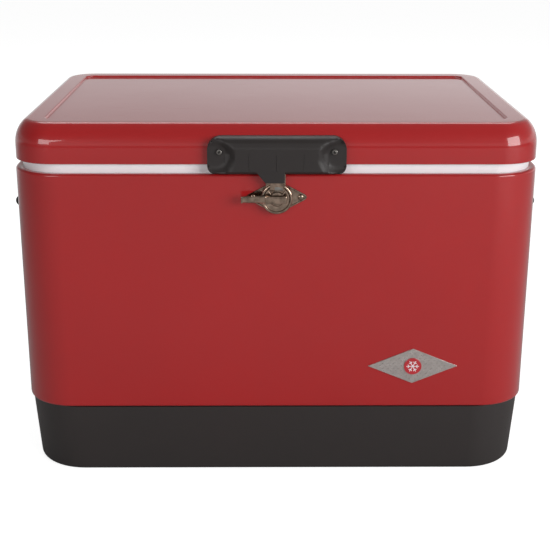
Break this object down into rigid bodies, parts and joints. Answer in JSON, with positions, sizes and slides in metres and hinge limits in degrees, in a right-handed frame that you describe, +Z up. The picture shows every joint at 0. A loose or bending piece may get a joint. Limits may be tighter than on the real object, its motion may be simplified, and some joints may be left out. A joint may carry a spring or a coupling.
{
  "type": "chest cooler",
  "caption": "Insulated steel-clad chest cooler with a hinged lid, front grip, turn latch, bail handles on its ends and a screw-capped drain.",
  "frame": {"origin": "on the floor, under the middle of the moulded base", "axes": "+X to the chest's right end seen from the front, +Y to the hinges, +Z up; the latch faces -Y"},
  "size_m": [0.627, 0.4221, 0.413],
  "materials": {
    "red_paint": "gloss baked enamel",
    "white_plastic": "gloss moulded",
    "black_plastic": "satin moulded",
    "handle_plastic": "satin moulded",
    "nickel": "bright nickel plate",
    "zinc": "zinc plated",
    "black_steel": "blackened",
    "badge_metal": "etched tread pattern",
    "red_enamel": "gloss enamel",
    "foam": "foamed in place",
    "gasket_rubber": "soft",
    "black_rubber": "soft"
  },
  "bodies": {
    "chest": {"base_tub": "black_plastic", "steel_wrap": "red_paint", "liner": "white_plastic", "body_foam": "foam", "badge_plate": "badge_metal", "badge_emblem": "red_enamel", "latch_plate": "nickel", "latch_housing": "nickel", "latch_rivets": "nickel", "latch_pivot": "zinc", "hinge_body_leaf_left": "zinc", "hinge_body_leaf_right": "zinc", "hinge_pins": "zinc", "hinge_body_screws": "zinc", "bail_brackets_left": "handle_plastic", "bail_brackets_right": "handle_plastic", "bracket_rivets": "zinc", "drain_spout": "handle_plastic", "drain_gasket": "black_rubber", "drain_nut": "white_plastic"},
    "lid": {"lid_shell": "red_paint", "lid_liner": "white_plastic", "lid_foam": "foam", "lid_gasket": "gasket_rubber", "lid_handle": "handle_plastic", "handle_screws": "black_steel", "strike_plate": "nickel", "hinge_lid_leaf_left": "zinc", "hinge_lid_leaf_right": "zinc", "hinge_lid_screws": "zinc"},
    "latch_turner": {"latch_lever": "nickel", "latch_cam": "zinc"},
    "left_bail": {"bail_left": "zinc", "bail_grip_left": "handle_plastic"},
    "right_bail": {"bail_right": "zinc", "bail_grip_right": "handle_plastic"},
    "drain_seal": {"drain_washer": "black_rubber"},
    "drain_screw_cap": {"drain_cap": "handle_plastic"}
  },
  "joints": [
    {"name": "lid_hinge", "type": "hinge", "parent": "chest", "child": "lid", "pos_m": [0, 0.2032, 0.3645], "axis": [-1, 0, 0], "range_deg": [0, 95]},
    {"name": "latch_turn", "type": "hinge", "parent": "chest", "child": "latch_turner", "pos_m": [0, -0.2, 0.334], "axis": [0, -1, 0], "range_deg": [0, 90]},
    {"name": "left_bail_swing", "type": "hinge", "parent": "chest", "child": "left_bail", "pos_m": [-0.3035, 0, 0.3], "axis": [0, 1, 0], "range_deg": [0, 90]},
    {"name": "right_bail_swing", "type": "hinge", "parent": "chest", "child": "right_bail", "pos_m": [0.3035, 0, 0.3], "axis": [0, -1, 0], "range_deg": [0, 90]},
    {"name": "drain_travel", "type": "slide", "parent": "chest", "child": "drain_seal", "axis": [1, 0, 0], "range_m": [0, 0.012]},
    {"name": "drain_turn", "type": "hinge", "parent": "drain_seal", "child": "drain_screw_cap", "pos_m": [0.3, 0.1, 0.064], "axis": [1, 0, 0], "range_deg": [0, 1080]}
  ],
  "couplings": [
    {"joint": "drain_turn", "follows": "drain_travel", "rad_per_m": 1570.8}
  ]
}
